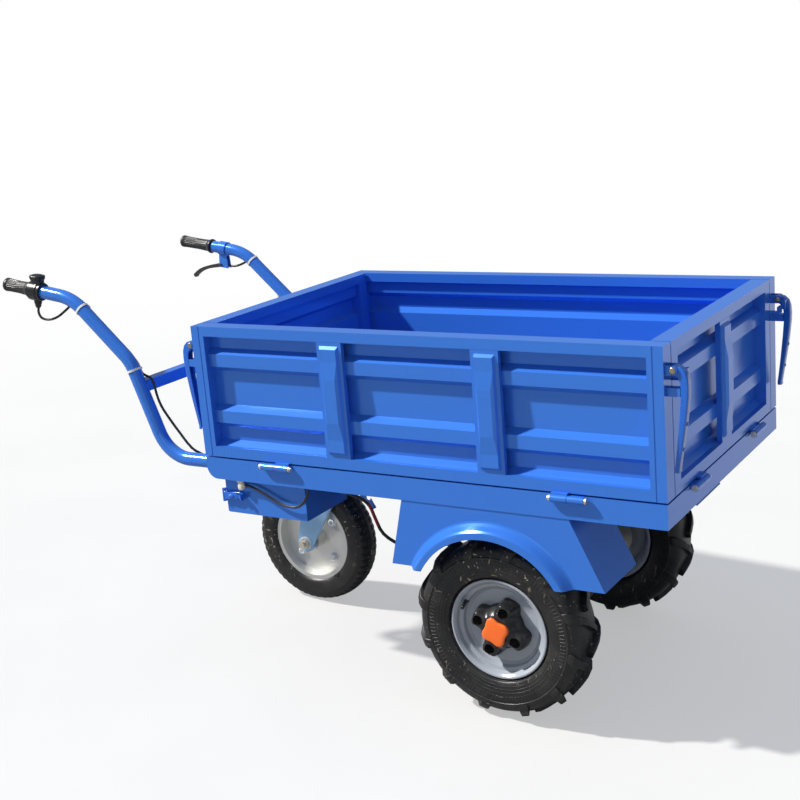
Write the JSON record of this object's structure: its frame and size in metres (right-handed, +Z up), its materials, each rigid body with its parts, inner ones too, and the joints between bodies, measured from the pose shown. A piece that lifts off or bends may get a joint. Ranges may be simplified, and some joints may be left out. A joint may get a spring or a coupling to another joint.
{
  "type": "electric three-wheel drop-side cart",
  "caption": "Walk-behind electric site cart: steel drop-side bed over a driven axle, swivel caster under tall bent handles with twist throttle and brake, hinged panels latched at the corners.",
  "frame": {"origin": "On the ground under the middle of the overall box", "axes": "+X towards the tailgate, the way the cart is pushed; +Y to the operator's left; +Z up. The bed is pitched up towards the tailgate by the two wheel sizes."},
  "size_m": [1.7313, 0.75, 0.8532],
  "materials": {
    "tyre_rubber": "worn matt",
    "rim_silver": "satin silver",
    "galvanised": "galvanised",
    "zinc": "zinc plated",
    "pale_blue_paint": "gloss",
    "black_paint": "satin",
    "black_plastic": "satin",
    "grip_rubber": "matt",
    "cable_sheath": "satin",
    "white_nylon": "satin",
    "orange_plastic": "gloss",
    "battery_case": "satin",
    "cast_aluminium": "cast",
    "blue_paint": "gloss"
  },
  "bodies": {
    "chassis": {"side_rails": "blue_paint", "end_rails": "blue_paint", "cross_members": "blue_paint", "bed_floor": "blue_paint", "hinge_pins": "zinc", "near_fender": "blue_paint", "far_fender": "blue_paint", "battery_box": "blue_paint", "battery_pack": "battery_case", "motor_controller": "cast_aluminium", "axle_housing": "black_paint", "drive_motor": "black_paint", "axle_brackets": "blue_paint", "near_handle": "blue_paint", "far_handle": "blue_paint", "handle_crossbar": "blue_paint", "throttle_housing": "black_plastic", "brake_side_grip": "grip_rubber", "brake_bracket": "blue_paint", "throttle_cable": "cable_sheath", "brake_cable": "cable_sheath", "box_cable": "cable_sheath", "motor_cable": "cable_sheath", "cable_ties": "white_nylon", "cable_bracket": "blue_paint", "charge_connector": "white_nylon", "caster_mount": "blue_paint", "caster_bearing": "zinc"},
    "near_side": {"near_side_panel": "blue_paint", "near_side_stiffeners": "blue_paint"},
    "far_side": {"far_side_panel": "blue_paint", "far_side_stiffeners": "blue_paint"},
    "tail_gate": {"tailgate": "blue_paint", "tailgate_fittings": "blue_paint"},
    "front_gate": {"front_panel": "blue_paint", "front_panel_fittings": "blue_paint"},
    "near_tail_lever": {"near_tail_latch": "blue_paint"},
    "far_tail_lever": {"far_tail_latch": "blue_paint"},
    "near_front_lever": {"near_front_latch": "blue_paint"},
    "far_front_lever": {"far_front_latch": "blue_paint"},
    "box_door": {"battery_box_door": "blue_paint"},
    "box_hasp": {"box_latch_lever": "blue_paint"},
    "throttle": {"throttle_grip": "grip_rubber"},
    "rocker": {"direction_rocker": "black_plastic"},
    "brake": {"brake_lever": "black_plastic"},
    "caster": {"caster_fork": "pale_blue_paint", "caster_axle": "zinc"},
    "caster_roll": {"caster_wheel": "galvanised", "caster_tyre": "tyre_rubber"},
    "near_wheel": {"near_tyre": "tyre_rubber", "near_rim": "rim_silver", "near_hub": "zinc", "near_hub_cap": "black_plastic", "near_cap_badge": "orange_plastic"},
    "far_wheel": {"far_tyre": "tyre_rubber", "far_rim": "rim_silver", "far_hub": "zinc", "far_hub_cap": "black_plastic", "far_cap_badge": "orange_plastic"}
  },
  "joints": [
    {"name": "near_side_drop", "type": "hinge", "parent": "chassis", "child": "near_side", "pos_m": [0.28846, -0.3635, 0.50598], "axis": [0.9976, 0, 0.0691], "range_deg": [0, 165]},
    {"name": "far_side_drop", "type": "hinge", "parent": "chassis", "child": "far_side", "pos_m": [0.28846, 0.3635, 0.50598], "axis": [-0.9976, 0, -0.0691], "range_deg": [0, 165]},
    {"name": "tailgate_drop", "type": "hinge", "parent": "chassis", "child": "tail_gate", "pos_m": [0.84562, 0, 0.54457], "axis": [0, 1, 0], "range_deg": [0, 170]},
    {"name": "front_panel_drop", "type": "hinge", "parent": "chassis", "child": "front_gate", "pos_m": [-0.26871, 0, 0.4674], "axis": [0, -1, 0], "range_deg": [0, 36]},
    {"name": "near_tail_latch_swing", "type": "hinge", "parent": "near_side", "child": "near_tail_lever", "pos_m": [0.83287, -0.335, 0.80832], "axis": [0, -1, 0], "range_deg": [0, 38]},
    {"name": "far_tail_latch_swing", "type": "hinge", "parent": "far_side", "child": "far_tail_lever", "pos_m": [0.83287, 0.335, 0.80832], "axis": [0, -1, 0], "range_deg": [0, 38]},
    {"name": "near_front_latch_swing", "type": "hinge", "parent": "near_side", "child": "near_front_lever", "pos_m": [-0.29244, -0.335, 0.73039], "axis": [0, 1, 0], "range_deg": [0, 38]},
    {"name": "far_front_latch_swing", "type": "hinge", "parent": "far_side", "child": "far_front_lever", "pos_m": [-0.29244, 0.335, 0.73039], "axis": [0, 1, 0], "range_deg": [0, 38]},
    {"name": "box_door_swing", "type": "hinge", "parent": "chassis", "child": "box_door", "pos_m": [-0.22183, -0.1695, 0.38394], "axis": [0.0691, 0, -0.9976], "range_deg": [0, 105]},
    {"name": "box_hasp_swing", "type": "hinge", "parent": "box_door", "child": "box_hasp", "pos_m": [-0.22582, -0.3395, 0.38366], "axis": [0.0691, 0, -0.9976], "range_deg": [0, 120]},
    {"name": "throttle_twist", "type": "hinge", "parent": "chassis", "child": "throttle", "pos_m": [-0.82191, -0.335, 0.81441], "axis": [0.9972, 0, -0.0747], "range_deg": [0, 70], "stiffness_Nm_per_rad": 0.6, "springref_deg": -5.73},
    {"name": "direction_rock", "type": "hinge", "parent": "chassis", "child": "rocker", "pos_m": [-0.7612, -0.335, 0.84446], "axis": [0, 1, 0], "range_deg": [-8, 8]},
    {"name": "brake_squeeze", "type": "hinge", "parent": "chassis", "child": "brake", "pos_m": [-0.72869, 0.335, 0.7603], "axis": [0, 1, 0], "range_deg": [0, 28], "stiffness_Nm_per_rad": 2, "springref_deg": -8.59},
    {"name": "caster_swivel", "type": "hinge", "parent": "chassis", "child": "caster", "pos_m": [-0.12603, 0, 0.35], "axis": [0, 0, 1], "continuous": true},
    {"name": "caster_spin", "type": "hinge", "parent": "caster", "child": "caster_roll", "pos_m": [-0.20603, 0, 0.163], "axis": [0, 1, 0], "continuous": true},
    {"name": "near_wheel_spin", "type": "hinge", "parent": "chassis", "child": "near_wheel", "pos_m": [0.4729, -0.292, 0.202], "axis": [0, 1, 0], "continuous": true},
    {"name": "far_wheel_spin", "type": "hinge", "parent": "chassis", "child": "far_wheel", "pos_m": [0.4729, 0.292, 0.202], "axis": [0, 1, 0], "continuous": true}
  ]
}
